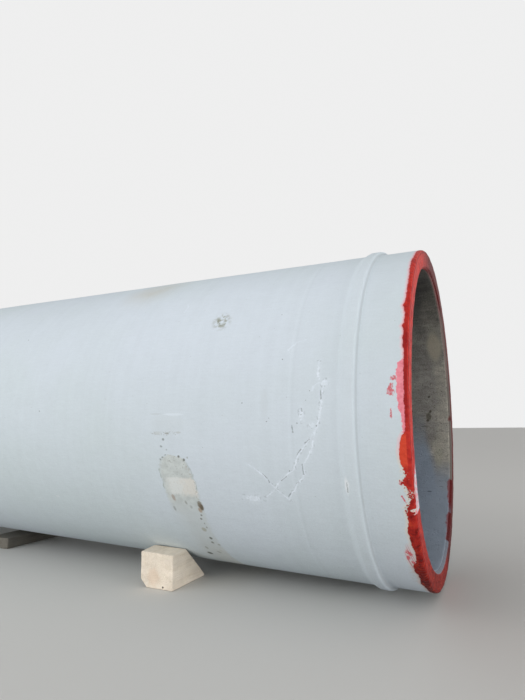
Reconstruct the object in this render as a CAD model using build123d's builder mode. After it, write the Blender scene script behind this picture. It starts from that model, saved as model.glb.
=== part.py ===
"""Bell-and-spigot concrete pipe lying on its bell and its stop ridge, with a wedge and a packing board.

Millimetres. X runs along the pipe with the spigot at +X, Z is up, the origin is the centre of the
footprint. The pipe's section is drawn along its own axis: s is the distance from the spigot's end
face, r the distance from the axis.
"""
import math
import os

from build123d import *

# barrel and spigot
bore_r = 411.0
barrel_wall = 54.0
barrel_r = bore_r + barrel_wall
overall_length = 5160.0
spigot_set_back = 1.5
spigot_r = barrel_r - spigot_set_back
spigot_length = 107.0
spigot_edge = 6.0
bore_edge = 8.0

# stop ridge behind the spigot's gasket band
ridge_height = 8.5
ridge_r = barrel_r + ridge_height
ridge_shoulder = 6.0
ridge_crown = 13.0
ridge_slope = 24.0
ridge_foot_round = 5.0
ridge_crown_round = 3.0

# bell: outside a short cylinder and a long flare, inside a lead-in, the socket and a taper to the bore
bell_cylinder = 90.0
bell_flare = 870.0
bell_edge = 6.0
ring_gap = 18.5
socket_r = spigot_r + ring_gap
bell_wall = 97.0
bell_r = socket_r + bell_wall
mouth_flare = 15.0
mouth_r = socket_r + mouth_flare
mouth_lead_in = 42.0
socket_depth = 145.0
socket_taper = 380.0

# timber
wedge_height = 100.0
wedge_top_fall = 5.0
wedge_width = 110.0
wedge_toe_height = 6.0
wedge_top = 60.0
wedge_slant_run = 100.0
wedge_wane = 22.0
wedge_from_ridge = 553.0
board_width = 100.0
board_end_y = 187.0
board_from_ridge = 1402.0
timber_edge = 2.0
seat_clearance = 0.3

# stations along the axis; the flare is two equal tangent arcs, and so is the socket's taper
crown_start = spigot_length + ridge_shoulder
crown_end = crown_start + ridge_crown
ridge_end = crown_end + ridge_slope
bell_start = overall_length - bell_cylinder
flare_start = bell_start - bell_flare
taper_end = overall_length - socket_depth
taper_start = taper_end - socket_taper
flare_middle = ((flare_start + bell_start) / 2, (barrel_r + bell_r) / 2)
taper_middle = ((taper_start + taper_end) / 2, (bore_r + socket_r) / 2)
flare_arc_r = (bell_flare**2 + (bell_r - barrel_r) ** 2) / (4 * (bell_r - barrel_r))

# the ridge's crown and the flare's upper arc both touch the floor, which gives the pipe's slope
run = bell_start - crown_start
fall = ridge_r + flare_arc_r - bell_r
slope = math.asin(flare_arc_r / math.hypot(run, fall)) - math.atan2(fall, run)
end_height = ridge_r * math.cos(slope) - crown_start * math.sin(slope)
reach_front = spigot_r * math.sin(slope)
reach_back = overall_length * math.cos(slope) + (bell_r - bell_edge) * math.sin(slope)
end_x = (reach_back - reach_front) / 2
ridge_x = end_x - crown_start * math.cos(slope) - ridge_r * math.sin(slope)
axis_plane = Plane(
    origin=(end_x, 0, end_height),
    x_dir=(-math.cos(slope), 0, math.sin(slope)),
    z_dir=(0, 1, 0),
)
pipe_axis = Axis((end_x, 0, end_height), (-math.cos(slope), 0, math.sin(slope)))


def axis_height(x):
    """Height of the pipe's axis above the floor at x."""
    return end_height + (end_x - x) * math.tan(slope)


# the wall's section runs from the spigot's face round the outside to the bell and back inside
with BuildPart() as pipe:
    with BuildSketch(axis_plane) as wall:
        with BuildLine():
            Polyline(
                (0, bore_r + bore_edge),
                (0, spigot_r - spigot_edge),
                (spigot_edge, spigot_r),
                (spigot_length, spigot_r),
                (crown_start, ridge_r),
                (crown_end, ridge_r),
                (ridge_end, barrel_r),
                (flare_start, barrel_r),
            )
            TangentArc((flare_start, barrel_r), flare_middle, tangent=(1, 0))
            TangentArc((bell_start, bell_r), flare_middle, tangent=(-1, 0))
            Polyline(
                (bell_start, bell_r),
                (overall_length - bell_edge, bell_r),
                (overall_length, bell_r - bell_edge),
                (overall_length, mouth_r),
                (overall_length - mouth_lead_in, socket_r),
                (taper_end, socket_r),
            )
            TangentArc((taper_end, socket_r), taper_middle, tangent=(-1, 0))
            TangentArc((taper_start, bore_r), taper_middle, tangent=(1, 0))
            Polyline(
                (taper_start, bore_r),
                (bore_edge, bore_r),
                (0, bore_r + bore_edge),
            )
        make_face()
        ridge_foot = wall.vertices().sort_by_distance((spigot_length, spigot_r))[0]
        fillet(ridge_foot, radius=ridge_foot_round)
        crown_corner = wall.vertices().sort_by_distance((crown_start, ridge_r))[0]
        fillet(crown_corner, radius=ridge_crown_round)
    revolve(axis=pipe_axis)

# the wedge's upper back edge bears on the barrel where the barrel is lowest over it
wedge_x = ridge_x - wedge_from_ridge
wedge_axis_height = axis_height(wedge_x)
wedge_back_y = -math.sqrt((barrel_r + seat_clearance) ** 2 - (wedge_axis_height - wedge_height) ** 2)
wedge_front_y = wedge_back_y - wedge_top
wedge_toe_y = wedge_back_y + wedge_slant_run
wedge_plane = Plane(origin=(wedge_x, 0, 0), x_dir=(0, 1, 0), z_dir=(1, 0, 0))

with BuildPart() as wedge_chock:
    with BuildSketch(wedge_plane):
        with BuildLine():
            Polyline(
                (wedge_front_y, 0),
                (wedge_toe_y, 0),
                (wedge_toe_y, wedge_toe_height),
                (wedge_back_y, wedge_height),
                (wedge_front_y, wedge_height - wedge_top_fall),
                close=True,
            )
        make_face()
    extrude(amount=-wedge_width)
    wane_edge = wedge_chock.edges().filter_by(Axis.Y).group_by(Axis.Z)[0].sort_by(Axis.X)[0]
    chamfer(wane_edge, length=wedge_wane)
    front_top_edge = wedge_chock.edges().filter_by(Axis.X).group_by(Axis.Y)[0].sort_by(Axis.Z)[-1]
    chamfer(front_top_edge, length=timber_edge)

# the board fills the gap under the barrel, which is smallest over the board's spigot side
board_x = ridge_x - board_from_ridge
board_thickness = axis_height(board_x) - barrel_r / math.cos(slope) - seat_clearance

with BuildPart() as packing_board:
    with BuildSketch(Plane.XY):
        with Locations((board_x - board_width / 2, 0)):
            Rectangle(board_width, 2 * board_end_y)
    extrude(amount=board_thickness)
    upright_edges = packing_board.edges().filter_by(Axis.Z)
    chamfer(upright_edges, length=timber_edge)

os.makedirs("parts", exist_ok=True)
pipe.part.label = "pipe"
wedge_chock.part.label = "wedge_chock"
packing_board.part.label = "packing_board"
export_step(pipe.part, "parts/pipe.step")
export_step(wedge_chock.part, "parts/wedge_chock.step")
export_step(packing_board.part, "parts/packing_board.step")

for piece in (pipe, wedge_chock, packing_board):
    box = piece.part.bounding_box()
    print(piece.part.label, [round(v, 2) for v in (*box.min, *box.max)], round(piece.part.volume / 1e9, 5), "m3")
print("slope", round(math.degrees(slope), 3), "ridge x", round(ridge_x, 1), "board", round(board_thickness, 2))
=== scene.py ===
"""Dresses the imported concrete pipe, its timber wedge and its packing board, then lights and frames them.

Metres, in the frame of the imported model: X runs along the pipe with the spigot at +X, Z is up.
Places on the pipe's wall are given as on a template wrapped round it: millimetres along the axis
from the spigot's end face, and degrees round it from the top towards the wedge's side.
"""
import math

import bpy
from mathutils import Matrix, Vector


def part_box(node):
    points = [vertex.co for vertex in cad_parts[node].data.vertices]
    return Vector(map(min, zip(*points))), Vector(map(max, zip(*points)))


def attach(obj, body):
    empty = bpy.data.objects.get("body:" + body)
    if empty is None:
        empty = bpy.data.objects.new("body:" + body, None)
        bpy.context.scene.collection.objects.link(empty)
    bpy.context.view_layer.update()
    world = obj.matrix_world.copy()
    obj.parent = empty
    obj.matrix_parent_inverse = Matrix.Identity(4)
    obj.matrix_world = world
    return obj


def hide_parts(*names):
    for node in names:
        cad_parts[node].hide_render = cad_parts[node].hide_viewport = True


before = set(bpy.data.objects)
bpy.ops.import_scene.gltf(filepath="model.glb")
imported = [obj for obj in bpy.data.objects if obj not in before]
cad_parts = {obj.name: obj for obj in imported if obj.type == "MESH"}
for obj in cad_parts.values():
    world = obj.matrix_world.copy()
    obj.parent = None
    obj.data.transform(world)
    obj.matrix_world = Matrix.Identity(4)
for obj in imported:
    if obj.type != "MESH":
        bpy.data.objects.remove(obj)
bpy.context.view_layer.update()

MM = 0.001

# the pipe's section, in millimetres
BARREL_R = 465.0
BORE_R = 411.0
LENGTH = 5160.0
SPIGOT_R = 463.5
SPIGOT_LENGTH = 107.0
RIDGE_R = 473.5
RIDGE_CROWN_END = 132.0
JOINT_LINE = 256.0
BELL_R = 579.0
BELL_START = 5070.0
FLARE_START = 4200.0
SOCKET_R = 482.0
MOUTH_R = 497.0
MOUTH_START = 5118.0
TAPER_START = 4635.0
TAPER_END = 5015.0
BORE_EDGE = 8.0
SIDES = 400

# the wedge's sawn faces, in metres
WEDGE_TOE = 0.006
WEDGE_SLANT_RUN = 0.100
WEDGE_WANE = 0.022
WEDGE_SPLIT = 0.005

# how the pipe lies: the centre of its spigot face, and its slope up towards the bell
SLOPE = math.radians(1.2236936)
SPIGOT_CENTRE = Vector((2.5805808, 0.0, 0.4709788))
TOWARDS_BELL = Vector((-math.cos(SLOPE), 0.0, math.sin(SLOPE)))
UPWARDS = Vector((math.sin(SLOPE), 0.0, math.cos(SLOPE)))


def srgb(red, green, blue):
    """A colour as a swatch book gives it, 0 to 255, for a shader."""
    def linear(v):
        v /= 255
        return v / 12.92 if v <= 0.04045 else ((v + 0.055) / 1.055) ** 2.4
    return (linear(red), linear(green), linear(blue), 1.0)


def on_section(along, out):
    """The point of the pipe's upper section at that distance along and out from the axis."""
    return SPIGOT_CENTRE + TOWARDS_BELL * along * MM + UPWARDS * out * MM


def spread(start, end, count):
    """count even steps from start, which is left out, to end."""
    return [start + (end - start) * (i + 1) / count for i in range(count)]


def two_arcs(along, start, end, out_start, out_end):
    """The radius on a double curve of two equal arcs between two straight runs."""
    run, rise = end - start, out_end - out_start
    arc = (run * run + rise * rise) / (4 * abs(rise))
    side = math.copysign(1, rise)
    near, far = along - start, end - along
    if near <= far:
        return out_start + side * (arc - math.sqrt(arc * arc - near * near))
    return out_end - side * (arc - math.sqrt(arc * arc - far * far))


def wall_section():
    """The wall's outline, from the spigot's face over the outside to the bell and back inside."""
    line = [(0.0, 456.0), (0.3, 458.2), (1.2, 460.2), (2.6, 461.7), (4.6, 462.8), (7.0, 463.4)]
    line += [(a, SPIGOT_R) for a in spread(7.0, 98, 25)]
    line += [(101.5, 463.6), (104.0, 464.2), (106.0, 465.6), (107.8, 468.2), (109.5, 471.0),
             (111.2, 472.9), (113.5, 473.5)]
    line += [(a, RIDGE_R) for a in spread(113.5, RIDGE_CROWN_END - 2, 3)]
    line += [(132.5, 473.2), (135.5, 472.2), (139.0, 470.3), (142.5, 468.3), (145.5, 466.7),
             (148.5, 465.5), (152.0, 465.0)]
    line += [(a, BARREL_R) for a in spread(152, JOINT_LINE - 6, 9)]
    line += [(JOINT_LINE - 3, 465.1), (JOINT_LINE, 464.5), (JOINT_LINE + 3, 465.2)]
    line += [(a, BARREL_R) for a in spread(JOINT_LINE + 6, 700, 16)]
    line += [(a, BARREL_R) for a in spread(700, FLARE_START, 35)]
    line += [(a, two_arcs(a, FLARE_START, BELL_START, BARREL_R, BELL_R))
             for a in spread(FLARE_START, BELL_START, 20)]
    line += [(a, BELL_R) for a in spread(BELL_START, LENGTH - 8, 5)]
    line += [(LENGTH - 4, 578.4), (LENGTH - 1.4, 576.4), (LENGTH - 0.2, 573.0)]
    line += [(LENGTH, r) for r in spread(573, 500, 9)]
    line += [(LENGTH - 1.0, 497.8), (LENGTH - 4, 495.8)]
    line += [(a, MOUTH_R + (SOCKET_R - MOUTH_R) * (LENGTH - a) / (LENGTH - MOUTH_START))
             for a in spread(LENGTH - 4, MOUTH_START + 2, 5)]
    line += [(MOUTH_START - 4, SOCKET_R)]
    line += [(a, SOCKET_R) for a in spread(MOUTH_START - 4, TAPER_END, 4)]
    line += [(a, two_arcs(a, TAPER_START, TAPER_END, BORE_R, SOCKET_R))
             for a in spread(TAPER_END, TAPER_START, 12)]
    line += [(a, BORE_R) for a in spread(TAPER_START, 320, 28)]
    line += [(a, BORE_R) for a in spread(320, 13, 24)]
    line += [(9.5, 411.3), (8.0, 411.8), (5.5, 413.8), (3.0, 416.2), (1.2, 418.0), (0.3, 419.8)]
    line += [(0.0, r) for r in spread(421.5, 456.0, 10)]
    return line


def select_only(obj):
    bpy.ops.object.select_all(action="DESELECT")
    obj.select_set(True)
    bpy.context.view_layer.objects.active = obj


def start_piece(name):
    """Names the primitive that was just added and opens it for shaping."""
    obj = bpy.context.object
    obj.name = obj.data.name = name
    select_only(obj)
    bpy.ops.object.mode_set(mode="EDIT")
    return obj


def end_piece(obj, smooth_under):
    """Closes the shaping, smooths what is rounder than that angle, and leaves the object at the origin."""
    bpy.ops.object.mode_set(mode="OBJECT")
    select_only(obj)
    bpy.ops.object.transform_apply(location=True, rotation=True, scale=True)
    bpy.ops.object.shade_smooth_by_angle(angle=math.radians(smooth_under))
    return obj


def apply_modifier(obj, kind, **settings):
    select_only(obj)
    made = obj.modifiers.new(kind.title(), kind)
    for key, value in settings.items():
        setattr(made, key, value)
    bpy.ops.object.modifier_apply(modifier=made.name)


def uneven(obj, size, height, group="", kind="CLOUDS", depth=1):
    """Makes a surface uneven by that height, in bumps of that size, both in metres."""
    lumps = bpy.data.textures.new("lumps", kind)
    lumps.noise_scale = size
    if kind == "CLOUDS":
        lumps.noise_depth = depth
    apply_modifier(obj, "DISPLACE", texture=lumps, texture_coords="LOCAL", strength=height,
                   mid_level=0.5, vertex_group=group)


def mark_off(obj, name, belongs):
    """A vertex group of the points that belong, with how much they do."""
    group = obj.vertex_groups.new(name=name)
    for v in obj.data.vertices:
        share = belongs(v.co)
        if share > 0:
            group.add([v.index], min(share, 1.0), "REPLACE")
    return name


def wall_place(point):
    """Millimetres along the pipe and out from its axis for a point."""
    rel = point - SPIGOT_CENTRE
    along = rel.dot(TOWARDS_BELL)
    return along / MM, (rel - TOWARDS_BELL * along).length / MM


def outwards(point):
    """The direction away from the pipe's axis."""
    away = point - SPIGOT_CENTRE
    return (away - TOWARDS_BELL * away.dot(TOWARDS_BELL)).normalized()


def cast_pipe():
    """The wall's section is drawn point by point from one corner and spun round the pipe's axis."""
    section = wall_section()
    corner = on_section(*section[0])
    bpy.ops.mesh.primitive_plane_add(size=0.01, location=corner)
    pipe = start_piece("cast_pipe")
    bpy.ops.mesh.select_all(action="SELECT")
    bpy.ops.mesh.merge(type="CENTER")
    for before, after in zip(section, section[1:]):
        step = on_section(*after) - on_section(*before)
        bpy.ops.mesh.extrude_vertices_move(TRANSFORM_OT_translate={"value": step})
    bpy.ops.mesh.select_all(action="SELECT")
    bpy.ops.mesh.spin(steps=SIDES, angle=math.tau, center=SPIGOT_CENTRE, axis=TOWARDS_BELL)
    bpy.ops.mesh.select_all(action="SELECT")
    bpy.ops.mesh.remove_doubles(threshold=0.00002)
    bpy.ops.mesh.normals_make_consistent(inside=False)
    end_piece(pipe, 50)

    def ridge(point):
        along, out = wall_place(point)
        return 1 - abs(along - 125) / 40 if out > 450 else 0

    def rim(point):
        along, out = wall_place(point)
        return 1 - max(along - 6, 0) / 10 if along < 16 and out > BORE_R + 1.5 else 0

    def bell_rim(point):
        along = wall_place(point)[0]
        return 1 - max(LENGTH - 10 - along, 0) / 30 if along > LENGTH - 40 else 0

    uneven(pipe, 0.42, 0.0016)
    uneven(pipe, 0.09, 0.0006, depth=2)
    uneven(pipe, 0.07, 0.0016, mark_off(pipe, "ridge", ridge))
    uneven(pipe, 0.018, 0.0016, mark_off(pipe, "rim", rim), depth=2)
    uneven(pipe, 0.05, 0.003, mark_off(pipe, "bell rim", bell_rim), depth=2)
    return pipe


def cut_off(point, direction):
    """Cuts off all that lies beyond the point in that direction and closes the cut."""
    bpy.ops.mesh.select_all(action="SELECT")
    bpy.ops.mesh.bisect(plane_co=point, plane_no=direction, use_fill=True, clear_outer=True)


def saw_wedge():
    """A square block, sawn to its slant, with a waney foot and a split corner."""
    low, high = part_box("wedge_chock")
    size = high - low
    bpy.ops.mesh.primitive_cube_add(size=1, location=(low + high) / 2)
    wedge = start_piece("sawn_wedge")
    bpy.ops.transform.resize(value=size, center_override=(low + high) / 2)
    toe = Vector((low.x, high.y, WEDGE_TOE))
    shoulder = Vector((low.x, high.y - WEDGE_SLANT_RUN, high.z))
    slant = shoulder - toe
    cut_off(toe, Vector((0, slant.z, -slant.y)))
    cut_off(shoulder, (0.018, -0.083, 1))
    cut_off((low.x + WEDGE_WANE, 0, 0), (-1, 0, -1))
    cut_off((low.x + WEDGE_SPLIT, shoulder.y, high.z), (-0.8, 0.55, 0.45))
    bpy.ops.mesh.select_all(action="SELECT")
    bpy.ops.mesh.bevel(offset=0.0012, segments=2, affect="EDGES")
    bpy.ops.object.mode_set(mode="OBJECT")
    apply_modifier(wedge, "REMESH", mode="VOXEL", voxel_size=0.0021)
    end_piece(wedge, 40)
    uneven(wedge, 0.035, 0.0010, depth=2)
    uneven(wedge, 0.006, 0.0004, depth=1)
    return wedge


def saw_board():
    """A rough board with worn edges."""
    low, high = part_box("packing_board")
    bpy.ops.mesh.primitive_cube_add(size=1, location=(low + high) / 2)
    board = start_piece("rough_board")
    bpy.ops.transform.resize(value=high - low, center_override=(low + high) / 2)
    bpy.ops.mesh.bevel(offset=0.0025, segments=2, affect="EDGES")
    bpy.ops.object.mode_set(mode="OBJECT")
    apply_modifier(board, "REMESH", mode="VOXEL", voxel_size=0.003)
    end_piece(board, 40)
    uneven(board, 0.05, 0.0012, depth=2)
    uneven(board, 0.008, 0.0005, depth=1)
    return board


class Finish:
    """A finish being mixed. Each call adds to it and gives back what comes out."""

    def __init__(self, name):
        self.material = bpy.data.materials.new(name)
        self.material.use_nodes = True
        self.tree = self.material.node_tree
        self.shader = self.tree.nodes["Principled BSDF"]
        self.spot = self.node("ShaderNodeTexCoord").outputs["Object"]

    def node(self, kind, feeds=None, **settings):
        made = self.tree.nodes.new(kind)
        for key, value in settings.items():
            setattr(made, key, value)
        for socket, value in (feeds or {}).items():
            if isinstance(value, bpy.types.NodeSocket):
                self.tree.links.new(value, made.inputs[socket])
            else:
                made.inputs[socket].default_value = value
        return made

    def maths(self, operation, *values, clamp=False):
        feeds = dict(enumerate(values))
        return self.node("ShaderNodeMath", feeds, operation=operation, use_clamp=clamp).outputs[0]

    def plus(self, a, b):
        return self.maths("ADD", a, b)

    def minus(self, a, b):
        return self.maths("SUBTRACT", a, b)

    def times(self, a, b):
        return self.maths("MULTIPLY", a, b)

    def apart(self, a, b):
        return self.maths("ABSOLUTE", self.minus(a, b))

    def least(self, a, b):
        return self.maths("MINIMUM", a, b)

    def most(self, a, b):
        return self.maths("MAXIMUM", a, b)

    def step(self, value, nothing, everything):
        """0 at one value and 1 at the other, eased between."""
        ramp = self.node("ShaderNodeMapRange", {0: value, 1: nothing, 2: everything, 3: 0.0, 4: 1.0},
                         interpolation_type="SMOOTHSTEP")
        return ramp.outputs[0]

    def noise(self, size, detail=2.0, where=None):
        """Noise about 0, mostly between -1 and 1, in lumps of that size in metres."""
        made = self.node("ShaderNodeTexNoise", {"Vector": where or self.spot, "Scale": 1 / size,
                                                "Detail": detail})
        return self.maths("MULTIPLY_ADD", made.outputs["Fac"], 4.0, -2.0)

    def blots(self, size, nothing, everything, detail=2.0):
        """Blots of noise of that size: 0 where the noise is at one value and 1 at the other."""
        return self.step(self.noise(size, detail), nothing, everything)

    def bands(self, value, size, detail=3.0):
        """Noise of one number, in bands of that size."""
        made = self.node("ShaderNodeTexNoise", {"W": value, "Scale": 1 / size, "Detail": detail},
                         noise_dimensions="1D")
        return self.maths("MULTIPLY_ADD", made.outputs["Fac"], 4.0, -2.0)

    def pocks(self, size, share, wide):
        """Small round marks: cells of that size, of which a share hold a mark that wide."""
        made = self.node("ShaderNodeTexVoronoi", {"Vector": self.spot, "Scale": 1 / size})
        lot = self.node("ShaderNodeSeparateColor", {0: made.outputs["Color"]}).outputs[0]
        return self.times(self.step(made.outputs["Distance"], wide, wide / 2),
                          self.step(lot, 1 - share, 1.02 - share))

    def over(self, below, colour, share):
        """A colour laid over another by a share from 0 to 1."""
        made = self.node("ShaderNodeMix", data_type="RGBA")
        for socket, value in ((made.inputs[0], share), (made.inputs[6], below), (made.inputs[7], colour)):
            if isinstance(value, bpy.types.NodeSocket):
                self.tree.links.new(value, socket)
            else:
                socket.default_value = value
        return made.outputs[2]

    def shade(self, colour, amount):
        """A colour made lighter or darker: 0 leaves it, 0.1 is a tenth lighter."""
        made = self.node("ShaderNodeHueSaturation", {"Value": self.plus(amount, 1.0), "Color": colour})
        return made.outputs[0]

    def curve(self, value, start, end, points):
        """A drawn line: points of (value, height) between start and end."""
        share = self.maths("DIVIDE", self.minus(value, start), end - start, clamp=True)
        tallest = max(height for at, height in points)
        made = self.node("ShaderNodeFloatCurve", {1: share})
        line = made.mapping.curves[0]
        for i, (at, height) in enumerate(points):
            x, y = (at - start) / (end - start), height / tallest
            if i < 2:
                line.points[i].location = (x, y)
            else:
                line.points.new(x, y)
        for p in line.points:
            p.handle_type = "VECTOR"
        made.mapping.update()
        return self.times(made.outputs[0], tallest)

    def relief(self, *layers):
        """A bump from layers of (height, depth in millimetres)."""
        total = 0.0
        for height, deep in layers:
            total = self.maths("MULTIPLY_ADD", height, deep * MM, total)
        return self.node("ShaderNodeBump", {"Height": total, "Strength": 1.0, "Distance": 1.0}).outputs[0]

    def use(self, colour, rough, normal):
        for socket, value in (("Base Color", colour), ("Roughness", rough), ("Normal", normal)):
            if isinstance(value, bpy.types.NodeSocket):
                self.tree.links.new(value, self.shader.inputs[socket])
            else:
                self.shader.inputs[socket].default_value = value
        return self.material


# millimetres of the barrel's surface in one degree round it
ARC = BARREL_R * math.pi / 180


class WallFinish(Finish):
    """A finish that knows where it is on the pipe's wall."""

    def __init__(self, name):
        super().__init__(name)
        self.own = self.node("ShaderNodeMapping", {"Vector": self.spot, "Location": SPIGOT_CENTRE,
                                                   "Rotation": (0, -SLOPE, math.pi)},
                             vector_type="TEXTURE").outputs[0]
        axes = self.node("ShaderNodeSeparateXYZ", {0: self.own})
        along, side, up = axes.outputs
        self.along = self.times(along, 1000.0)
        self.degrees = self.times(self.maths("ARCTAN2", side, up), 180 / math.pi)
        square = self.maths("MULTIPLY_ADD", side, side, self.times(up, up))
        self.out = self.times(self.maths("SQRT", square), 1000.0)
        self.template = (self.along, self.degrees)

    def stretched(self, *scale):
        """The place on the pipe, scaled so that noise on it is drawn out."""
        return self.node("ShaderNodeMapping", {"Vector": self.own, "Scale": scale}).outputs[0]

    def shaken(self, size, by):
        """The template's place, shaken by noise so that what is drawn on it gets a ragged edge."""
        jitter = self.node("ShaderNodeTexNoise", {"Vector": self.spot, "Scale": 1 / size, "Detail": 2.0})
        parts = self.node("ShaderNodeSeparateColor", {0: jitter.outputs["Color"]}).outputs
        return (self.plus(self.maths("MULTIPLY_ADD", parts[0], by, -by / 2), self.along),
                self.plus(self.maths("MULTIPLY_ADD", parts[1], by / ARC, -by / ARC / 2), self.degrees))

    def dab(self, place, centre, half, turn=0.0):
        """Distance from a round or long dab, 1 on its outline; its halves are in millimetres."""
        c, s = math.cos(math.radians(turn)), math.sin(math.radians(turn))
        total = None
        for by_along, by_arc, h in ((c, s, half[0]), (-s, c, half[1])):
            off = -(centre[0] * by_along + centre[1] * ARC * by_arc) / h
            far = self.maths("MULTIPLY_ADD", place[0], by_along / h, off)
            far = self.maths("MULTIPLY_ADD", place[1], by_arc * ARC / h, far)
            total = self.times(far, far) if total is None else self.maths("MULTIPLY_ADD", far, far, total)
        return self.maths("SQRT", total)

    def stroke(self, place, points):
        """Distance in millimetres from a line through points of (degrees, millimetres along)."""
        start, end = points[0][0], points[-1][0]
        middle = self.curve(place[1], start, end, points)
        beside = self.times(self.apart(place[0], middle), 0.75)
        past = self.apart(place[1], (start + end) / 2)
        return self.most(beside, self.maths("MULTIPLY_ADD", past, ARC, -ARC * (end - start) / 2))

    def strokes(self, place, lines):
        nearest = self.stroke(place, lines[0])
        for points in lines[1:]:
            nearest = self.least(nearest, self.stroke(place, points))
        return nearest


# how far the red paint reaches back from the spigot's face: (degrees, millimetres)
PAINT_REACH = [
    (45, 9.5), (50, 9), (57, 9.5), (59, 12), (60, 15), (61, 12.5), (63, 9), (66, 10), (67, 15), (68, 10),
    (69.5, 10), (70.5, 13), (72, 11), (73, 12), (74, 9), (90, 8.5), (95, 9), (96, 16), (97, 20), (99, 22),
    (101, 23.5), (103, 22.5), (104, 18), (105, 15), (107, 15), (107.6, 24), (108.6, 25), (109, 15),
    (110, 13.5), (112, 11), (113, 10), (114, 14), (115, 19), (118, 19), (119.5, 18), (122, 23), (123, 23),
    (124, 21), (127, 20), (128, 19), (129, 17), (130, 15), (133, 16), (134.5, 18), (135.5, 25), (137, 26),
    (140, 25.5), (141, 21), (144, 19.5), (147, 23), (148.5, 20), (150, 17), (154, 15), (160, 14),
]
# the thin pink smear behind it
SMEAR_REACH = [
    (70, 0), (75.5, 0), (76.5, 9), (77, 16), (78, 21), (79.5, 23.5), (84.5, 23.5), (86, 22.5), (88, 21),
    (90, 19), (91, 15), (92, 14), (95.5, 14), (97, 0), (110, 0),
]
# how far the end face stays bare, out from the bore's edge
BARE_FACE = [
    (100, 0), (103.5, 0), (105, 14), (107, 28), (110, 42), (114, 40), (115.2, 46), (116.8, 54), (117.8, 34),
    (119, 0), (125, 0),
]
# paint that ran over the bore's edge on the far side
BORE_REACH = [
    (-180, 1), (-158, 1), (-156, 10), (-148, 10), (-146, 14), (-141, 14), (-139, 8), (-133, 10), (-131, 14),
    (-123, 15), (-121, 4), (-94, 4), (-92, 9), (-90.5, 8), (-88, 3), (-80, 3),
]
# the two sides of the strip where the coat is rubbed off
STRIP_BACK = [
    (96, 590), (103, 590), (104.5, 620), (106, 627), (108, 632), (112, 631), (116, 628), (124, 626),
    (140, 618), (170, 606),
]
STRIP_FRONT = [
    (96, 612), (103, 612), (104.5, 551), (106, 542), (109, 532), (112, 527), (116, 524), (122, 522),
    (130, 524), (150, 521), (170, 520),
]
# lines drawn through (degrees, millimetres along)
SCRAPES = [
    [(105.4, 369), (106.7, 351.7), (108.3, 335), (110.1, 322.8), (112, 309), (114.3, 289), (115.4, 278.2)],
    [(115.5, 366), (116.1, 373), (116.7, 380)],
    [(94.7, 199), (96.6, 206.4), (98.4, 218.8), (100.6, 233.4), (102.6, 245), (105, 252), (106.3, 256.7),
     (107.6, 273.6), (109, 285.6), (110.4, 298), (112, 307), (113.6, 318.6), (115, 335)],
    [(82.3, 177.7), (84.8, 183), (87.5, 183.4), (90.1, 186.7), (93.5, 192.2), (96.2, 201.3), (99.3, 207.6),
     (101.2, 213.8), (102.8, 221.6), (104.9, 233.3), (106.9, 231.7), (108.4, 236.6), (110.4, 252.4),
     (112, 259.5), (113.8, 270.7), (115.4, 278.2)],
    [(76.3, 191.9), (78, 192), (79.6, 193.6), (81.2, 190.2)],
]
FAINT_SCRAPES = [
    [(82.1, 177.8), (82.4, 190.8), (83.2, 202.3), (84.3, 205.3)],
    [(69.4, 230.3), (70, 251), (70.6, 255.7), (72.3, 270)],
    [(49, 620), (51, 612), (53.5, 616)],
]
CRACKS = [
    [(97.6, 213.4), (98.6, 223.9)], [(100.4, 235), (101.8, 244.4)], [(104.5, 234.6), (107.3, 233.8)],
    [(109.7, 323), (110.5, 321)], [(109.8, 247.6), (110.1, 253.8)], [(113.5, 272), (114.4, 278.5)],
    [(89.3, 229.9), (90.1, 228.9)], [(94, 253.7), (95.8, 251.4)], [(108.3, 276), (109.6, 289.9)],
    [(108, 334.7), (109.2, 325.2)], [(84.6, 185.5), (86.8, 184)], [(108.6, 135.3), (111.2, 134.8)],
]
CHALK_SPOTS = [
    ((371, 116.0), (14, 6)), ((204.8, 93.9), (5, 4)), ((177.5, 82.4), (5, 4.5)), ((230.5, 90.8), (3.5, 8)),
]
PITS = [
    (241, 93.3, 2.2), (195, 93.9, 2.4), (231.4, 91, 1.8), (266.5, 106.6, 2.0), (380.7, 87.7, 2.0),
    (220, 87.1, 1.5), (212, 84.6, 1.6), (283, 75.2, 2.0), (316, 92.9, 1.8), (310, 92, 1.5), (1060, 90, 2.5),
    (1210, 60, 2.5), (305, 59.5, 1.8),
]
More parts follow.
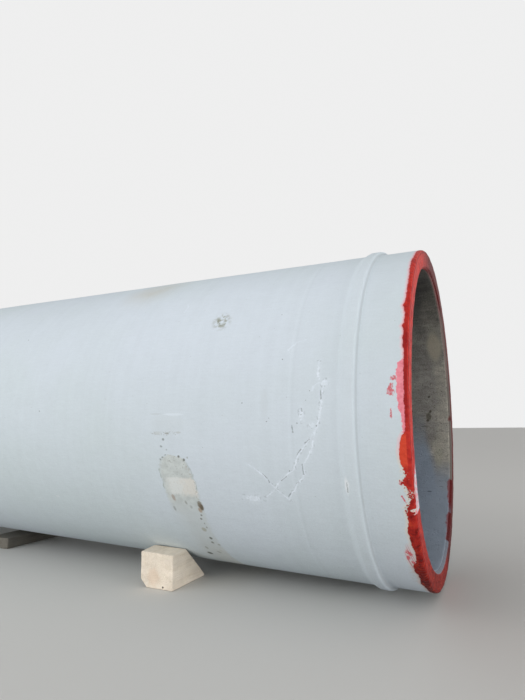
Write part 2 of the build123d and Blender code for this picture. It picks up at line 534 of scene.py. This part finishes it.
# dabs of dirt and rust: place, halves along and round, turn, colour, strength
DABS = [
    ((535, 122.3), (7, 9), 0, (170, 150, 130), 0.8), ((528, 121.0), (7, 12), 0, (106, 96, 82), 0.95),
    ((533, 120.4), (6, 9), 0, (126, 114, 98), 0.8), ((531, 119.4), (7, 6), 0, (130, 124, 110), 0.7),
    ((607, 118.3), (6, 11), 10, (172, 158, 148), 0.75), ((537, 124.4), (3.6, 4), 0, (120, 122, 118), 0.8),
    ((542.5, 126), (4, 4), 30, (126, 128, 122), 0.8), ((538, 128), (3, 3.5), 0, (140, 144, 140), 0.6),
    ((537, 129.8), (3, 4), 0, (136, 140, 136), 0.6), ((549, 131), (8, 9), 0, (160, 158, 138), 0.6),
    ((543, 135.4), (5, 7), 0, (108, 112, 106), 0.85), ((547, 138), (5, 6), 0, (122, 124, 116), 0.75),
    ((530, 139), (5, 5), 0, (142, 142, 132), 0.5), ((552, 145), (5, 9), 40, (140, 142, 134), 0.5),
    ((541, 143.4), (6, 9), 0, (196, 200, 196), 0.6), ((591, 147.3), (10, 10), 20, (96, 100, 92), 0.85),
    ((583, 142.5), (5, 9), 0, (134, 138, 130), 0.5), ((609, 98.8), (4.5, 3.5), 0, (140, 148, 150), 0.8),
    ((617, 101), (4.5, 3.2), -15, (150, 160, 164), 0.8), ((601, 102), (3, 2.5), 0, (160, 170, 172), 0.7),
    ((627, 96.9), (13, 5), 0, (192, 198, 198), 0.5), ((607, 103.7), (4.5, 2), 30, (156, 166, 166), 0.6),
    ((616, 104.5), (3.4, 2.6), 0, (142, 152, 152), 0.8),
    ((623.5, 105.2), (2.8, 3.6), 30, (142, 152, 152), 0.8), ((565.5, 104), (4, 3.6), 0, (116, 120, 116), 0.9),
    ((551, 105), (4.2, 4.2), 0, (116, 120, 116), 0.9), ((540, 104.2), (3, 3), 0, (150, 158, 156), 0.6),
    ((597, 96.9), (8, 2.8), 0, (158, 160, 156), 0.7), ((561, 96.5), (9, 3), 0, (184, 190, 190), 0.5),
    ((572, 119.8), (4, 7), 10, (146, 148, 144), 0.6), ((615, 122.6), (4, 9), 10, (148, 154, 154), 0.6),
    ((560, 121.4), (4, 6), 0, (156, 160, 160), 0.5), ((322, 88), (11, 40), 0, (198, 206, 211), 0.22),
    ((577, 91), (34, 3.6), 0, (226, 235, 244), 0.6), ((632, 90.9), (20, 3), 0, (196, 204, 210), 0.5),
    ((1043, 122.6), (9, 3), 0, (222, 228, 232), 0.6),
]
# splashes of thinned paint behind the red edge
FLECKS = [
    ((36, 84.3), (4.5, 12), -20), ((32.5, 85.3), (5, 6), 0), ((29, 81.6), (6, 6), 40),
    ((35.5, 90.6), (2.2, 10), 0), ((24.5, 108.2), (4, 5), 0), ((22, 112.6), (2, 8), 25),
    ((32, 132.5), (4, 8), 0), ((29, 130.5), (5, 10), 30), ((24, 134.5), (4, 6), 30),
]
BORE_DABS = [
    ((72, -129), (9, 3), 0, (70, 76, 84), 0.8), ((34, -126), (9, 2), 0, (110, 116, 122), 0.5),
    ((72, -80.5), (6, 5), 0, (76, 74, 66), 0.85), ((76, -90.5), (10, 18), 0, (84, 78, 60), 0.7),
    ((70, -88), (5, 8), 20, (66, 60, 44), 0.85), ((80, -92.5), (5, 6), 0, (66, 60, 46), 0.85),
    ((45, -110), (16, 50), 0, (168, 167, 148), 0.4), ((90, -95.5), (16, 3), 0, (96, 96, 90), 0.5),
    ((38, -54), (28, 72), 0, (208, 198, 176), 0.6), ((60, -96.8), (30, 3), 0, (160, 160, 150), 0.5),
]


def lay_dabs(f, colour, place, dabs):
    """Lays each dab over the colour, softer towards its outline."""
    for centre, half, turn, tint, strength in dabs:
        shape = f.step(f.dab(place, centre, half, turn), 1.15, 0.55)
        colour = f.over(colour, srgb(*tint), f.times(shape, strength))
    return colour


class CoatFinish(WallFinish):
    """The outside's finish, with the places that its marks are drawn on and the sides that it has."""

    def __init__(self, name):
        super().__init__(name)
        self.place = self.shaken(0.012, 5.0)
        self.rough_place = self.shaken(0.005, 3.2)
        self.outside = self.step(self.out, 446.0, 452.0)
        self.near_side = self.times(self.step(self.degrees, 0.0, 1.0), self.outside)


def rolled_coat(f):
    """Two tints in clouds, roller bands round the pipe, a fine mottle, pores, painted shade and a painted
    highlight either side of the form's joint line, painted light on the barrel's top near the spigot, and
    painted shade in the crease at the ridge's foot.
    """
    coat = f.over(srgb(212, 221, 231), srgb(206, 217, 222), f.blots(0.55, -0.9, 0.9, 3.0))
    drawn_out = f.noise(0.0045, 3.0, f.stretched(0.16, 1.0, 1.0))
    uneven_tint = f.plus(f.times(f.bands(f.along, 22.0), 0.010), f.times(drawn_out, 0.016))
    uneven_tint = f.plus(uneven_tint, f.times(f.noise(0.045, 3.0), 0.014))
    coarser_below = f.maths("MULTIPLY_ADD", f.step(f.degrees, 98.0, 128.0), 0.022, 0.023)
    uneven_tint = f.plus(uneven_tint, f.times(f.noise(0.0035, 3.0), coarser_below))
    band = f.times(f.step(f.along, SPIGOT_LENGTH + 3, SPIGOT_LENGTH - 3), f.outside)
    # painted shade on the spigot side of the form's joint line, and a painted highlight on its lit lip just
    # beyond
    joint_shade = f.step(f.apart(f.along, JOINT_LINE - 4), 5.0, 1.0)
    uneven_tint = f.minus(uneven_tint, f.plus(f.times(band, 0.03), f.times(joint_shade, 0.02)))
    lit_lip = f.step(f.apart(f.along, JOINT_LINE + 5), 5.0, 1.0)
    uneven_tint = f.plus(uneven_tint, f.times(lit_lip, 0.018))
    # painted light: the top of the barrel is made lighter for about a metre from the spigot
    lit_top_lift = f.times(f.step(f.along, 1300.0, 500.0), f.step(f.degrees, 84.0, 48.0))
    coat = f.shade(coat, f.plus(uneven_tint, f.times(lit_top_lift, 0.055)))
    pores = f.pocks(0.012, 0.10, 0.10)
    coat = f.over(coat, srgb(158, 162, 162), f.times(pores, 0.6))
    # painted shade: a darker line in the crease at the foot of the ridge
    crease_shade = f.step(f.apart(f.along, SPIGOT_LENGTH), 3.0, 0.6)
    return f.over(coat, srgb(168, 172, 174), f.times(crease_shade, 0.35)), pores


def bare_strip(f, coat):
    """Where the coat is rubbed off in a strip down the near side: grey, cream and speckled."""
    back = f.curve(f.degrees, 96.0, 170.0, STRIP_BACK)
    front = f.curve(f.degrees, 96.0, 170.0, STRIP_FRONT)
    blots, fine = f.noise(0.013, 3.0), f.noise(0.0055, 3.0)
    low = f.step(f.degrees, 117.0, 126.0)
    wavy = f.plus(f.along, f.times(blots, 4.0))
    inside = f.least(f.minus(back, wavy), f.minus(wavy, front))
    faded = f.times(f.minus(back, wavy), f.minus(1.0, f.times(low, 0.86)))
    soft_inside = f.least(faded, f.minus(wavy, front))
    bare = f.over(srgb(208, 214, 212), srgb(190, 196, 194), f.blots(0.02, -0.6, 0.9, 3.0))
    bare = f.over(bare, srgb(200, 206, 206), f.times(low, 0.8))
    bare = f.over(bare, srgb(198, 198, 190), f.times(f.step(f.degrees, 132.0, 146.0), 0.7))
    level = f.plus(f.place[1], f.plus(f.times(blots, 0.5), f.times(fine, 0.3)))
    cream = f.times(f.step(level, 110.4, 111.6), f.step(level, 117.9, 116.0))
    cream = f.times(cream, f.step(f.plus(f.along, f.times(blots, 5.0)), 626.0, 604.0))
    warm = f.step(f.plus(f.along, f.times(blots, 14.0)), 590.0, 545.0)
    creamy = f.over(srgb(226, 229, 227), srgb(226, 223, 216), warm)
    creamy = f.over(creamy, srgb(208, 204, 192), f.times(f.step(fine, 0.1, 1.0), 0.5))
    bare = f.over(bare, creamy, cream)
    thick = f.step(f.apart(f.degrees, 107.5), 4.0, 2.0)
    speckle = f.blots(0.0042, 0.25, 1.1)
    crowded = f.times(thick, f.blots(0.016, -0.9, 0.5))
    speckle = f.times(speckle, f.plus(f.times(crowded, 0.85), 0.2))
    bare = f.over(bare, srgb(136, 137, 132), speckle)
    border = f.times(f.step(f.minus(wavy, front), 16.0, 4.0), f.step(fine, 0.0, 0.8))
    bare = f.over(bare, srgb(158, 150, 130), f.times(border, f.step(f.degrees, 121.0, 117.0)))
    share = f.times(f.step(soft_inside, -3.0, 8.0), f.minus(0.85, f.times(low, 0.3)))
    coat = f.over(coat, bare, f.times(share, f.near_side))
    edge = f.times(f.step(f.apart(inside, 1.0), 3.0, 0.5), f.near_side)
    edge = f.times(edge, f.times(f.step(f.degrees, 103.5, 105.5), f.step(f.degrees, 119.0, 115.0)))
    edge = f.times(edge, f.blots(0.012, -0.6, 0.5))
    return f.over(coat, srgb(150, 162, 154), f.times(edge, 0.55))


def stains(f, coat):
    """Dirt and rust on the rubbed strip, a greenish speckled spot above it, a stain at the top."""
    haze = f.step(f.dab(f.rough_place, (592, 94), (56, 24)), 1.3, 0.5)
    coat = f.over(coat, srgb(204, 212, 216), f.times(haze, 0.2))
    row = f.step(f.dab(f.rough_place, (602, 96.9), (44, 5.5)), 1.2, 0.8)
    row = f.times(row, f.blots(0.0042, 0.0, 0.7))
    coat = f.over(coat, srgb(150, 154, 152), f.times(row, 0.7))
    coat = lay_dabs(f, coat, f.rough_place, DABS)
    spotted = f.step(f.dab(f.template, (477, 59.8), (27, 30), 35), 1.25, 0.35)
    spotted = f.times(spotted, f.blots(0.011, -0.35, 0.55, 3.0))
    coat = f.over(coat, srgb(142, 145, 128), f.times(spotted, 0.85))
    stain = f.times(f.step(f.dab(f.template, (815, 33), (110, 110)), 1.3, 0.1), f.outside)
    stain = f.times(stain, f.plus(f.times(f.noise(0.06, 3.0), 0.15), 0.42))
    return f.over(coat, srgb(200, 197, 186), stain)


def scraped_coat(f, coat):
    """Scrapes: white chalk pushed up, with painted shade beside its lines, and dark cracks and pits between.
    """
    broken = f.times(f.noise(0.0045, 3.0), 2.2)
    scraped = f.strokes(f.rough_place, SCRAPES)
    for centre, half in CHALK_SPOTS:
        spot = f.times(f.minus(f.dab(f.rough_place, centre, half), 0.7), 2.4)
        scraped = f.least(scraped, spot)
    patchy = f.blots(0.016, -0.8, 0.5)
    dusty = f.step(f.plus(scraped, broken), 9.0, 1.0)
    coat = f.over(coat, srgb(222, 231, 241), f.times(dusty, 0.3))
    # painted shade: darker bands just beside the chalk lines, standing in for the shading of their raised
    # edges
    beside = f.step(f.apart(f.plus(scraped, broken), 3.6), 1.5, 0.3)
    beside = f.times(beside, f.blots(0.009, 0.0, 0.8))
    coat = f.over(coat, srgb(160, 169, 176), f.times(beside, 0.5))
    chalk = f.step(f.plus(scraped, broken), 2.0, 0.0)
    chalk = f.times(chalk, f.plus(f.times(patchy, 0.55), 0.22))
    coat = f.over(coat, srgb(236, 244, 255), chalk)
    light_chalk = f.step(f.plus(f.strokes(f.rough_place, FAINT_SCRAPES), broken), 3.0, 0.4)
    coat = f.over(coat, srgb(228, 237, 248), f.times(light_chalk, 0.5))
    crack = f.plus(f.strokes(f.rough_place, CRACKS), f.times(broken, 0.4))
    crack = f.times(f.step(crack, 1.7, 0.2), 0.8)
    for along, degrees, half in PITS:
        crack = f.most(crack, f.step(f.dab(f.place, (along, degrees), (half, half)), 1.0, 0.4))
    hole_halo = f.step(f.dab(f.place, (136, 109.5), (6, 20)), 1.3, 0.4)
    coat = f.over(coat, srgb(236, 240, 244), f.times(hole_halo, 0.75))
    return f.over(coat, srgb(118, 125, 132), f.times(crack, 0.75))


def spigot_red(f, coat):
    """The red round the spigot, as drawn on the near side and by noise elsewhere, and its thin edge."""
    ragged = f.plus(f.times(f.noise(0.007, 3.0), 1.5), f.times(f.noise(0.0022, 2.0), 0.7))
    muddle = f.times(f.step(f.degrees, 103.0, 105.5), f.step(f.degrees, 119.0, 115.5))
    muddle = f.times(muddle, f.outside)
    ragged = f.plus(ragged, f.times(f.noise(0.0045, 3.0), f.times(muddle, 7.0)))
    back = f.plus(f.along, ragged)
    known = f.times(f.step(f.degrees, 44.0, 46.0), f.step(f.degrees, 160.0, 158.0))
    drawn = f.times(f.curve(f.degrees, 45.0, 160.0, PAINT_REACH), known)
    other = f.maths("MULTIPLY_ADD", f.noise(0.045, 4.0), 1.7, 10.5)
    other = f.times(other, f.minus(1.0, known))
    reach = f.plus(drawn, other)
    red = f.step(f.minus(reach, back), -0.8, 1.2)
    from_bore = f.plus(f.minus(f.out, BORE_R), f.times(ragged, 1.6))
    unpainted = f.minus(f.curve(f.degrees, 100.0, 125.0, BARE_FACE), from_bore)
    unpainted = f.times(f.step(unpainted, -1.0, 1.5), f.step(f.along, 6.0, 3.0))
    notch = f.step(f.dab(f.place, (5, 115.8), (7, 4)), 1.2, 0.8)
    streaks = f.step(f.dab(f.place, (12, 111.3), (14, 11)), 1.2, 0.7)
    streaks = f.times(streaks, f.blots(0.0035, -0.1, 0.5))
    chips = f.times(f.blots(0.0042, 0.75, 1.15), muddle)
    red = f.times(red, f.minus(1.0, f.most(f.most(unpainted, chips), f.most(notch, streaks))))
    thin = f.times(f.step(f.minus(f.plus(reach, 5.0), back), -3.5, 4.5), f.times(f.outside, 0.8))
    halo = f.over(srgb(234, 196, 200), srgb(228, 218, 206), f.step(f.degrees, 98.0, 104.0))
    halo = f.over(halo, srgb(216, 196, 190), f.step(f.degrees, 122.0, 132.0))
    coat = f.over(coat, halo, thin)
    soft_edge = f.step(f.minus(f.plus(reach, 1.5), back), -2.5, 2.5)
    soft_edge = f.times(soft_edge, f.times(f.step(f.degrees, 97.0, 90.0), f.outside))
    coat = f.over(coat, srgb(226, 112, 120), f.times(soft_edge, 0.6))
    specks = f.times(f.blots(0.0038, 0.5, 1.0), f.times(muddle, f.times(thin, 0.8)))
    return f.over(coat, srgb(178, 160, 132), specks), red, ragged, known


def splashes(f, coat, ragged, known):
    """Thinned paint behind the red: a pink smear, splashes, and dragged streaks low down."""
    behind = f.plus(f.along, f.times(ragged, 1.5))
    smear = f.minus(f.curve(f.degrees, 70.0, 110.0, SMEAR_REACH), behind)
    pink = f.over(srgb(242, 142, 156), srgb(226, 112, 128), f.blots(0.008, -0.6, 1.0, 3.0))
    pink = f.over(pink, srgb(246, 206, 210), f.times(f.blots(0.0032, 0.6, 1.2), 0.6))
    coat = f.over(coat, pink, f.times(f.times(f.step(smear, -1.0, 1.0), known), 0.92))
    flecks = f.dab(f.place, *FLECKS[0])
    for fleck in FLECKS[1:]:
        flecks = f.least(flecks, f.dab(f.place, *fleck))
    flecks = f.step(f.plus(flecks, f.times(f.noise(0.004), 0.4)), 1.2, 0.8)
    ghost = f.times(f.step(f.dab(f.rough_place, (27, 132.4), (11, 44)), 1.2, 0.6), f.outside)
    coat = f.over(coat, srgb(220, 200, 200), f.times(ghost, 0.6))
    grimy = f.times(f.step(f.dab(f.rough_place, (27, 141), (13, 70)), 1.2, 0.5), f.outside)
    grimy = f.times(grimy, f.blots(0.009, -0.6, 0.8, 3.0))
    coat = f.over(coat, srgb(190, 178, 170), f.times(grimy, 0.4))
    dragged = f.bands(f.plus(f.along, f.times(f.degrees, 1.6)), 3.4, 2.0)
    coat = f.over(coat, srgb(196, 108, 112), f.times(ghost, f.times(f.step(dragged, 0.1, 0.8), 0.65)))
    coat = f.over(coat, srgb(236, 226, 222), f.times(ghost, f.times(f.step(dragged, -0.4, -1.0), 0.6)))
    flecks = f.times(f.times(flecks, f.outside), f.blots(0.0038, -1.1, 0.1))
    return f.over(coat, srgb(208, 80, 90), f.times(flecks, 0.85))


def bell_red(f, coat, red, ragged):
    """The red round the bell's rim and into its mouth, with chips and faint stains behind it."""
    bell_side = f.step(f.along, 2500.0, 2501.0)
    reach = f.maths("MULTIPLY_ADD", f.noise(0.05, 4.0), 7.0, 12.0)
    inside_mouth = f.step(f.out, MOUTH_R + 2.0, MOUTH_R + 0.5)
    from_mouth = f.plus(f.minus(LENGTH, f.along), ragged)
    reach = f.plus(reach, f.times(inside_mouth, 50.0))
    bell_red = f.times(f.step(f.minus(reach, from_mouth), -1.0, 1.5), bell_side)
    chipped = f.times(f.blots(0.0055, 0.8, 1.2, 3.0), f.step(f.degrees, 60.0, 110.0))
    bell_red = f.times(bell_red, f.minus(1.0, f.times(chipped, f.minus(1.0, inside_mouth))))
    pale_margin = f.times(f.step(f.minus(f.plus(reach, 6.0), from_mouth), -2.0, 3.0), bell_side)
    coat = f.over(coat, srgb(232, 214, 210), f.times(pale_margin, 0.7))
    run_down = f.step(f.noise(0.02, 3.0, f.stretched(1.0, 0.12, 0.12)), 0.7, 1.8)
    run_down = f.times(f.times(run_down, bell_side), f.step(from_mouth, 420.0, 30.0))
    coat = f.over(coat, srgb(176, 160, 138), f.times(run_down, 0.35))
    knocks = f.blots(0.006, 0.9, 1.3)
    knocks = f.times(knocks, f.step(f.dab(f.template, (5030, 118), (60, 130)), 1.3, 0.5))
    coat = f.over(coat, srgb(126, 128, 124), f.times(knocks, 0.8))
    return coat, f.most(f.times(red, f.minus(1.0, bell_side)), bell_red), bell_side


def red_paint(f, bell_side):
    """The paint itself: brushed and lumpy, with painted light on the end face, painted shade on the outer
    strip high on the near side, along the face's outer edge, low down and at the top and far side of the
    spigot's end, and painted highlights and glints low down.
    """
    across = f.plus(f.plus(f.out, f.along), f.times(f.noise(0.05, 2.0), 4.0))
    brushed = f.bands(across, 3.6, 2.0)
    paint = f.over(srgb(192, 54, 46), srgb(150, 36, 36), f.blots(0.018, -0.6, 1.0, 3.0))
    face = f.step(f.along, 3.0, 0.8)
    # painted light on the end face, and painted shade making the paint much darker low down round the pipe
    low_shade = f.step(f.maths("ABSOLUTE", f.degrees), 108.0, 160.0)
    lit_face_and_low_shade = f.minus(f.times(face, 0.24), f.times(low_shade, 0.74))
    paint = f.shade(paint, f.plus(f.times(brushed, 0.09), lit_face_and_low_shade))
    shaded = f.times(f.step(f.degrees, 60.0, 72.0), f.step(f.degrees, 95.0, 88.0))
    shaded = f.times(shaded, f.times(f.outside, f.minus(1.0, face)))
    paint = f.over(paint, srgb(140, 34, 34), f.times(shaded, 0.65))
    bright = f.times(f.step(f.degrees, 95.0, 96.5), f.step(f.degrees, 105.0, 103.0))
    bright = f.times(f.times(bright, f.step(f.along, 6.0, 9.0)), f.minus(f.near_side, bell_side))
    paint = f.over(paint, srgb(222, 80, 56), f.times(bright, 0.85))
    thick = f.noise(0.011, 3.0)
    pale = f.times(f.blots(0.006, 0.5, 1.4, 3.0), f.plus(f.times(face, 0.3), 0.4))
    paint = f.over(paint, srgb(214, 88, 76), pale)
    # painted highlights low down: orange patches with dark patches between them, and painted glints as pale
    # specks
    low_sheen_zone = f.step(f.degrees, 108.0, 124.0)
    paint = f.over(paint, srgb(206, 78, 52), f.times(f.step(thick, 0.15, 0.9), f.times(low_sheen_zone, 0.55)))
    paint = f.over(paint, srgb(84, 19, 19), f.times(f.step(thick, -0.1, -0.9), f.times(low_sheen_zone, 0.75)))
    glints = f.times(f.blots(0.0034, 0.85, 1.3), f.plus(f.times(low_sheen_zone, 0.5), 0.25))
    paint = f.over(paint, srgb(240, 170, 158), glints)
    # painted shade: a dark line along the rounded outer edge of the end face
    edge_shade = f.step(f.apart(f.out, 456.5), 3.0, 1.0)
    edge_shade = f.times(edge_shade, f.times(f.step(f.along, 4.0, 2.0), 0.55))
    paint = f.over(paint, srgb(104, 24, 26), edge_shade)
    paint = f.over(paint, srgb(104, 24, 26), f.times(f.blots(0.005, 0.7, 1.3, 3.0), 0.6))
    end = f.step(f.along, 60.0, 30.0)
    # painted shade: the paint at the spigot's end made dark across the top and far side
    top_shade = f.times(f.step(f.degrees, 30.0, -2.0), f.step(f.degrees, -172.0, -160.0))
    return f.over(paint, srgb(84, 24, 26), f.times(f.times(top_shade, end), 0.95)), brushed, end


def bore_edge(f, colour, end):
    """The edge towards the bore: bare between the runs of paint, with a pale lip and arris, and painted shade
    on its bare part low down.
    """
    far_side = f.times(f.step(f.degrees, -22.0, -42.0), f.step(f.degrees, -172.0, -160.0))
    far_side = f.times(far_side, end)
    run_over = f.times(f.step(f.curve(f.degrees, -180.0, -80.0, BORE_REACH), 6.0, 10.0), far_side)
    bare = f.times(f.step(f.out, 419.2, 417.6), f.times(f.minus(1.0, run_over), end))
    bare = f.times(bare, f.step(f.maths("ABSOLUTE", f.degrees), 26.0, 44.0))
    bare = f.times(bare, f.blots(0.02, -1.9, -0.6, 3.0))
    # painted shade: low down, the bare edge is given a darker bluish grey
    low = f.step(f.maths("ABSOLUTE", f.degrees), 118.0, 140.0)
    stone = f.over(srgb(114, 109, 104), srgb(120, 128, 140), low)
    colour = f.over(colour, stone, f.times(bare, 0.92))
    lip = f.step(f.apart(f.out, 419.0), 1.3, 0.3)
    colour = f.over(colour, srgb(192, 150, 150), f.times(lip, f.times(bare, 0.6)))
    arris = f.times(f.step(f.apart(f.degrees, -36.0), 42.0, 30.0), end)
    arris = f.times(arris, f.step(f.apart(f.out, 413.5), 2.2, 0.8))
    return f.over(colour, srgb(156, 128, 126), f.times(arris, 0.6))


def coat_finish():
    """The pale grey-blue coat of the outside, with its wear, and the red paint round both ends."""
    f = CoatFinish("grey_blue_coat_and_red_rim")
    coat, pores = rolled_coat(f)
    coat = bare_strip(f, coat)
    coat = stains(f, coat)
    coat = scraped_coat(f, coat)
    coat, red, ragged, known = spigot_red(f, coat)
    coat = splashes(f, coat, ragged, known)
    coat, red, bell_side = bell_red(f, coat, red, ragged)
    paint, brushed, end = red_paint(f, bell_side)
    colour = bore_edge(f, f.over(coat, paint, red), end)
    paint_lumps = f.plus(f.times(f.noise(0.007, 2.0), 0.7), f.times(brushed, 0.12))
    paint_height = f.times(red, f.plus(paint_lumps, 1.0))
    normal = f.relief(
        (f.noise(0.006, 1.0), 0.09),
        (f.noise(0.024, 1.0), 0.22),
        (pores, -1.0),
        (paint_height, 1.2),
    )
    f.shader.inputs["Specular IOR Level"].default_value = 0.05
    return f.use(colour, f.minus(0.78, f.times(red, 0.34)), normal)


def bore_finish():
    """The bare inner wall: mottled brown-grey concrete above, smooth bluish grey along the bottom, and
    painted shade making its top much darker.
    """
    f = WallFinish("bare_bore")
    place = f.shaken(0.010, 5.0)
    combed = f.stretched(0.3, 1.0, 1.0)
    wall = f.over(srgb(162, 158, 152), srgb(138, 135, 129), f.blots(0.09, -0.8, 0.8, 4.0))
    mouth = f.step(f.along, 110.0, 20.0)
    sandy = f.step(f.plus(f.noise(0.10, 3.0), f.times(mouth, 1.3)), 0.4, 1.6)
    wall = f.over(wall, srgb(188, 183, 171), f.times(sandy, 0.8))
    rubbed = f.noise(0.012, 3.0, combed)
    grain = f.noise(0.0045, 3.0)
    wall = f.shade(wall, f.plus(f.times(rubbed, 0.20), f.times(grain, 0.32)))
    pores = f.pocks(0.009, 0.30, 0.30)
    wall = f.over(wall, srgb(74, 72, 66), f.times(pores, 0.6))
    deep = f.times(f.step(f.along, 45.0, 100.0), 24.0)
    ragged_turn = f.maths("MULTIPLY_ADD", f.noise(0.12, 3.0), 5.0, deep)
    low = f.step(f.plus(f.maths("ABSOLUTE", f.degrees), ragged_turn), 111.0, 131.0)
    wall = f.over(wall, srgb(152, 166, 184), f.times(low, 0.90))
    # painted shade: the top of the bore made much darker
    crown_shade = f.step(f.maths("ABSOLUTE", f.degrees), 66.0, 20.0)
    wall = f.shade(wall, f.minus(f.times(f.noise(0.05, 3.0), 0.06), f.times(crown_shade, 0.64)))
    wall = lay_dabs(f, wall, place, BORE_DABS)
    run_over = f.minus(f.curve(f.degrees, -180.0, -80.0, BORE_REACH), f.along)
    red = f.times(f.step(f.plus(run_over, f.times(f.noise(0.012, 3.0), 3.0)), -3.0, 3.0),
                  f.step(f.along, 40.0, 30.0))
    wall = f.over(wall, srgb(140, 48, 46), f.times(red, 0.8))
    ragged_along = f.plus(f.along, f.times(f.noise(0.03, 4.0), 4.0))
    bell_red = f.step(ragged_along, LENGTH - 60.0, LENGTH - 54.0)
    wall = f.over(wall, srgb(150, 36, 34), bell_red)
    normal = f.relief((rubbed, 0.6), (grain, 0.5), (pores, -1.5))
    return f.use(wall, 0.82, normal)


def timber_finish(name, pale, dark, knots=()):
    """Sawn timber with its grain along Y, rough from the saw."""
    f = Finish(name)
    long = f.node("ShaderNodeMapping", {"Vector": f.spot, "Scale": (1.0, 0.06, 1.0)}).outputs[0]
    grain = f.noise(0.004, 4.0, long)
    share = f.plus(f.times(grain, 0.5), f.times(f.noise(0.018, 3.0, long), 0.6))
    wood = f.over(pale, dark, f.step(share, -0.6, 1.8))
    wood = f.shade(wood, f.plus(f.times(f.noise(0.03, 3.0), 0.08), f.times(f.noise(0.0022), 0.03)))
    for centre, half, colour, strength in knots:
        apart = f.node("ShaderNodeMapping", {"Vector": f.spot, "Location": centre, "Scale": half},
                       vector_type="TEXTURE").outputs[0]
        far = f.node("ShaderNodeVectorMath", {0: apart}, operation="LENGTH").outputs[1]
        far = f.plus(far, f.times(f.noise(0.006), 0.2))
        wood = f.over(wood, srgb(*colour), f.times(f.step(far, 1.2, 0.6), strength))
    return f.use(wood, 0.8, f.relief((grain, 0.6), (f.noise(0.0025), 0.3)))


def dress(piece, node, slot, *materials):
    """Gives a piece its finishes and its body, and hides the imported part it stands for; the slot is not
    used.
    """
    piece.data.materials.clear()
    for material in materials:
        piece.data.materials.append(material)
    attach(piece, "root")
    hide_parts(node)


pipe = cast_pipe()
wedge = saw_wedge()
board = saw_board()
dress(pipe, "pipe", "coated_concrete", coat_finish(), bore_finish())
for face in pipe.data.polygons:
    along, out = wall_place(face.center)
    faces_in = face.normal.dot(outwards(face.center)) < -0.5
    inner = faces_in and BORE_EDGE < along < LENGTH - 34
    face.material_index = 1 if inner else 0
dress(wedge, "wedge_chock", "wedge_timber",
      timber_finish("pale_sawn_timber", srgb(244, 232, 216), srgb(218, 202, 180),
                    knots=[((1.872, -0.3207, 0.007), (0.0034, 0.01, 0.0028), (70, 58, 50), 0.95),
                           ((1.840, -0.3207, 0.030), (0.022, 0.02, 0.026), (226, 200, 176), 0.5)]))
dress(board, "packing_board", "board_timber",
      timber_finish("weathered_board", srgb(112, 108, 100), srgb(80, 76, 70)))


def lay_floor():
    bpy.ops.mesh.primitive_plane_add(size=80, location=(0, 0, 0))
    floor = bpy.context.object
    floor.name = "floor"
    f = Finish("pale_floor")
    light = f.node("ShaderNodeLightPath").outputs
    seen = f.most(f.most(light["Is Camera Ray"], light["Is Glossy Ray"]), light["Is Transmission Ray"])
    colour = f.over(srgb(172, 172, 169), srgb(214, 213, 210), seen)
    f.use(colour, 0.9, f.node("ShaderNodeNewGeometry").outputs["Normal"])
    floor.data.materials.append(f.material)


def set_world():
    """A white sky, dimmer as a light than where it is seen or mirrored."""
    world = bpy.data.worlds.new("studio")
    bpy.context.scene.world = world
    world.use_nodes = True
    nodes, links = world.node_tree.nodes, world.node_tree.links
    path = nodes.new("ShaderNodeLightPath").outputs
    seen = path["Is Camera Ray"]
    for mirrored in (path["Is Glossy Ray"], path["Is Transmission Ray"]):
        either = nodes.new("ShaderNodeMath")
        either.operation = "MAXIMUM"
        links.new(seen, either.inputs[0])
        links.new(mirrored, either.inputs[1])
        seen = either.outputs[0]
    strength = nodes.new("ShaderNodeMapRange")
    strength.inputs[3].default_value = 0.53
    strength.inputs[4].default_value = 0.86
    links.new(seen, strength.inputs[0])
    sky = nodes["Background"]
    sky.inputs[0].default_value = (1.0, 1.0, 1.0, 1.0)
    links.new(strength.outputs[0], sky.inputs[1])


def hang_lamp(name, place, aim, size, watts, colour=(1, 1, 1), spread=180):
    lamp = bpy.data.lights.new(name, "AREA")
    lamp.shape = "RECTANGLE"
    lamp.size, lamp.size_y = size
    lamp.energy = watts
    lamp.color = colour
    lamp.spread = math.radians(spread)
    holder = bpy.data.objects.new(name, lamp)
    bpy.context.collection.objects.link(holder)
    holder.location = place
    holder.rotation_euler = (Vector(aim) - Vector(place)).to_track_quat("-Z", "Y").to_euler()


def set_camera():
    camera = bpy.data.cameras.new("camera")
    camera.lens = 25.05
    camera.sensor_width = 36
    camera.clip_start, camera.clip_end = 0.05, 200
    holder = bpy.data.objects.new("camera", camera)
    bpy.context.collection.objects.link(holder)
    holder.location = (2.7503, -1.4762, 0.4472)
    holder.rotation_euler = tuple(math.radians(a) for a in (98.703, 0.6864, 26.1143))
    bpy.context.scene.camera = holder


lay_floor()
set_world()
hang_lamp("side_light", (-3.0, -6.3, 5.0), (0.6, 0, 0.5), (8, 4), 158, (1.0, 0.99, 0.97))
hang_lamp("low_light", (-0.5, -6.5, 0.6), (0.8, 0, 0.2), (9, 1.2), 80, (1.0, 0.99, 0.96), 110)
hang_lamp("end_light", (8.5, -1.0, 0.65), (2.4, 0, 0.5), (3, 1.2), 62, (1.0, 0.99, 0.97), 110)
set_camera()

view = bpy.context.scene.view_settings
view.view_transform = "Standard"
